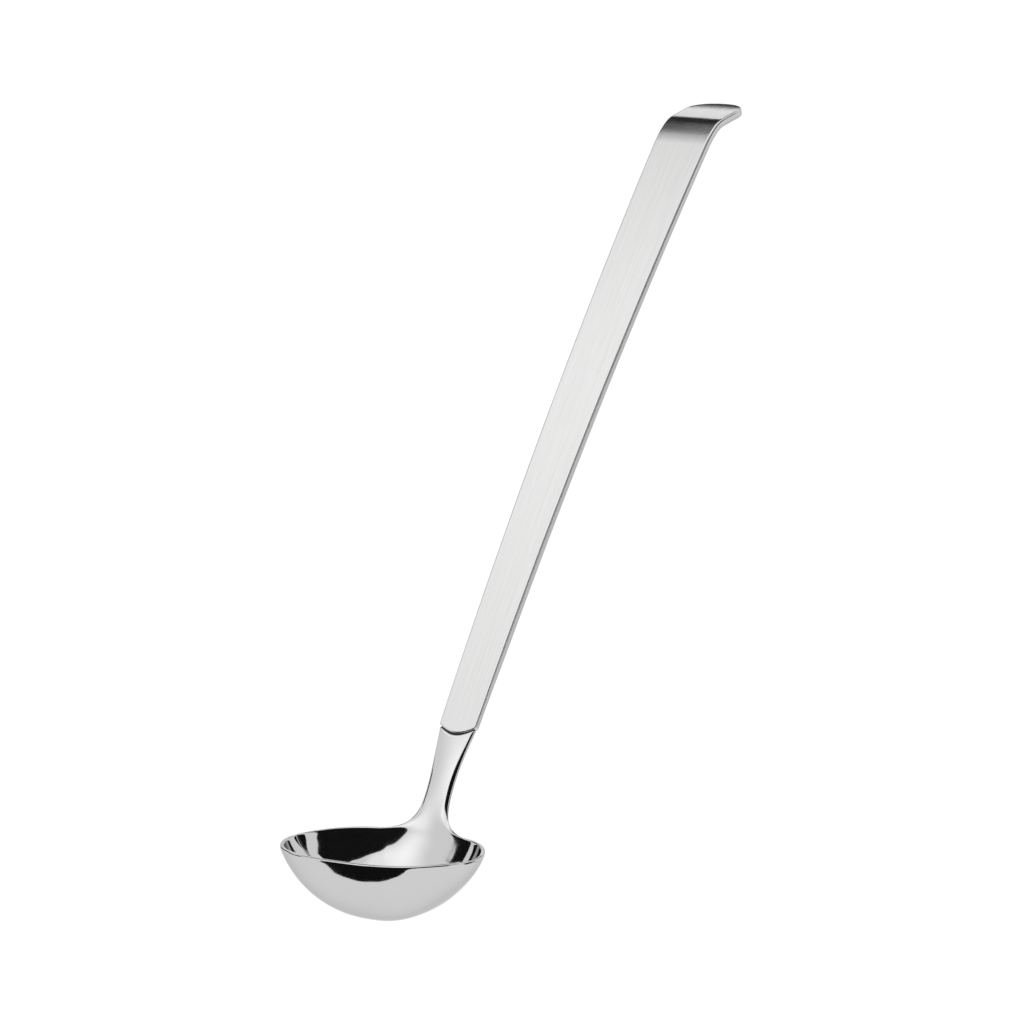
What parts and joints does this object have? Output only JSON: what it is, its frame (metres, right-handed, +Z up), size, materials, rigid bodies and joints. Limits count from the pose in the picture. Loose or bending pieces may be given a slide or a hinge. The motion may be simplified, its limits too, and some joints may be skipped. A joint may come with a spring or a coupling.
{
  "type": "sauce ladle",
  "caption": "Steel sauce ladle: a polished oval bowl with a pouring lip on each side, a waisted neck and a flat brushed handle bent back into a hanging hook.",
  "frame": {"origin": "middle of the flat underside of the hook at the top of the handle, where the ladle hangs", "axes": "+Z up with the bowl's rim level, +Y from the bowl towards the handle, +X to the right of someone who holds the handle and looks into the bowl"},
  "size_m": [0.0666, 0.2125, 0.2168],
  "materials": {
    "polished_steel": "mirror polished stainless steel",
    "brushed_steel": "stainless steel brushed along the handle",
    "weld_steel": "ground weld"
  },
  "bodies": {
    "root": {"head": "polished_steel", "handle": "brushed_steel", "weld_bead": "weld_steel"}
  },
  "joints": []
}
